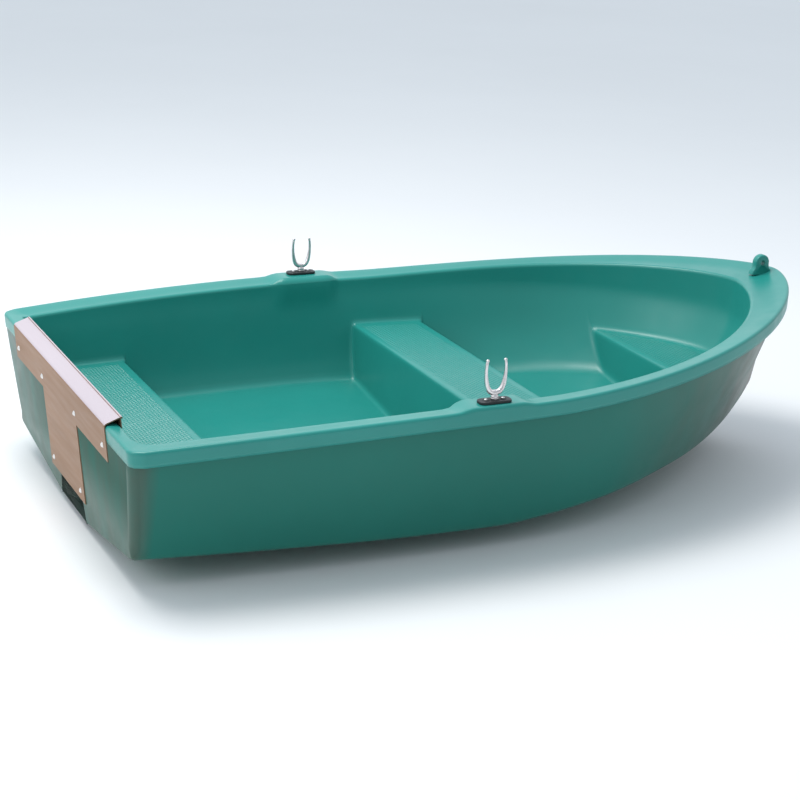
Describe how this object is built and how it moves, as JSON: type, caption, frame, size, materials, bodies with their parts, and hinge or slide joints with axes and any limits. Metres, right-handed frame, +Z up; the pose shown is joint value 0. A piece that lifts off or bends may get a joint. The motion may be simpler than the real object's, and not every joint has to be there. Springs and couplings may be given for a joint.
{
  "type": "rowing dinghy",
  "caption": "Small double-skinned moulded rowing dinghy with three moulded seats, V bottom, folded motor plate on the transom and swivelling oarlocks.",
  "frame": {"origin": "under the middle of the boat on the ground that the keel rests on", "axes": "+X forwards to the bow, +Y to port, +Z up"},
  "size_m": [2.415, 1.444, 0.6139],
  "materials": {
    "hull_green": "moulded polyethylene, satin",
    "liner_green": "moulded polyethylene, satin",
    "plate_metal": "rolled sheet",
    "bolt_steel": "turned",
    "oarlock_steel": "galvanised",
    "base_black": "moulded",
    "foam_white": "closed-cell foam",
    "plywood": "sealed plywood",
    "block_grey": "moulded",
    "bung_black": "moulded",
    "seal_rubber": "matt"
  },
  "bodies": {
    "boat": {"outer_hull": "hull_green", "inner_liner": "liner_green", "gunwale": "liner_green", "stern_foam": "foam_white", "thwart_foam": "foam_white", "bow_foam": "foam_white", "transom_core": "plywood", "motor_plate": "plate_metal", "plate_bolts_top": "bolt_steel", "plate_bolts_low": "bolt_steel", "plate_washers": "bolt_steel", "plate_nuts": "bolt_steel", "core_nuts": "bolt_steel", "drain_bung": "bung_black", "bung_seal": "seal_rubber", "port_oarlock_base": "base_black", "port_oarlock_bush": "oarlock_steel", "port_oarlock_block": "block_grey", "port_oarlock_screws": "bolt_steel", "starboard_oarlock_base": "base_black", "starboard_oarlock_bush": "oarlock_steel", "starboard_oarlock_block": "block_grey", "starboard_oarlock_screws": "bolt_steel"},
    "port_horn": {"port_oarlock": "oarlock_steel", "port_oarlock_washer": "bolt_steel", "port_split_pin": "bolt_steel"},
    "starboard_horn": {"starboard_oarlock": "oarlock_steel", "starboard_oarlock_washer": "bolt_steel", "starboard_split_pin": "bolt_steel"}
  },
  "joints": [
    {"name": "port_oarlock_swivel", "type": "hinge", "parent": "boat", "child": "port_horn", "pos_m": [-0.2015, 0.688, 0.48], "axis": [0, 0, 1], "continuous": true},
    {"name": "starboard_oarlock_swivel", "type": "hinge", "parent": "boat", "child": "starboard_horn", "pos_m": [-0.2015, -0.688, 0.48], "axis": [0, 0, 1], "continuous": true}
  ]
}
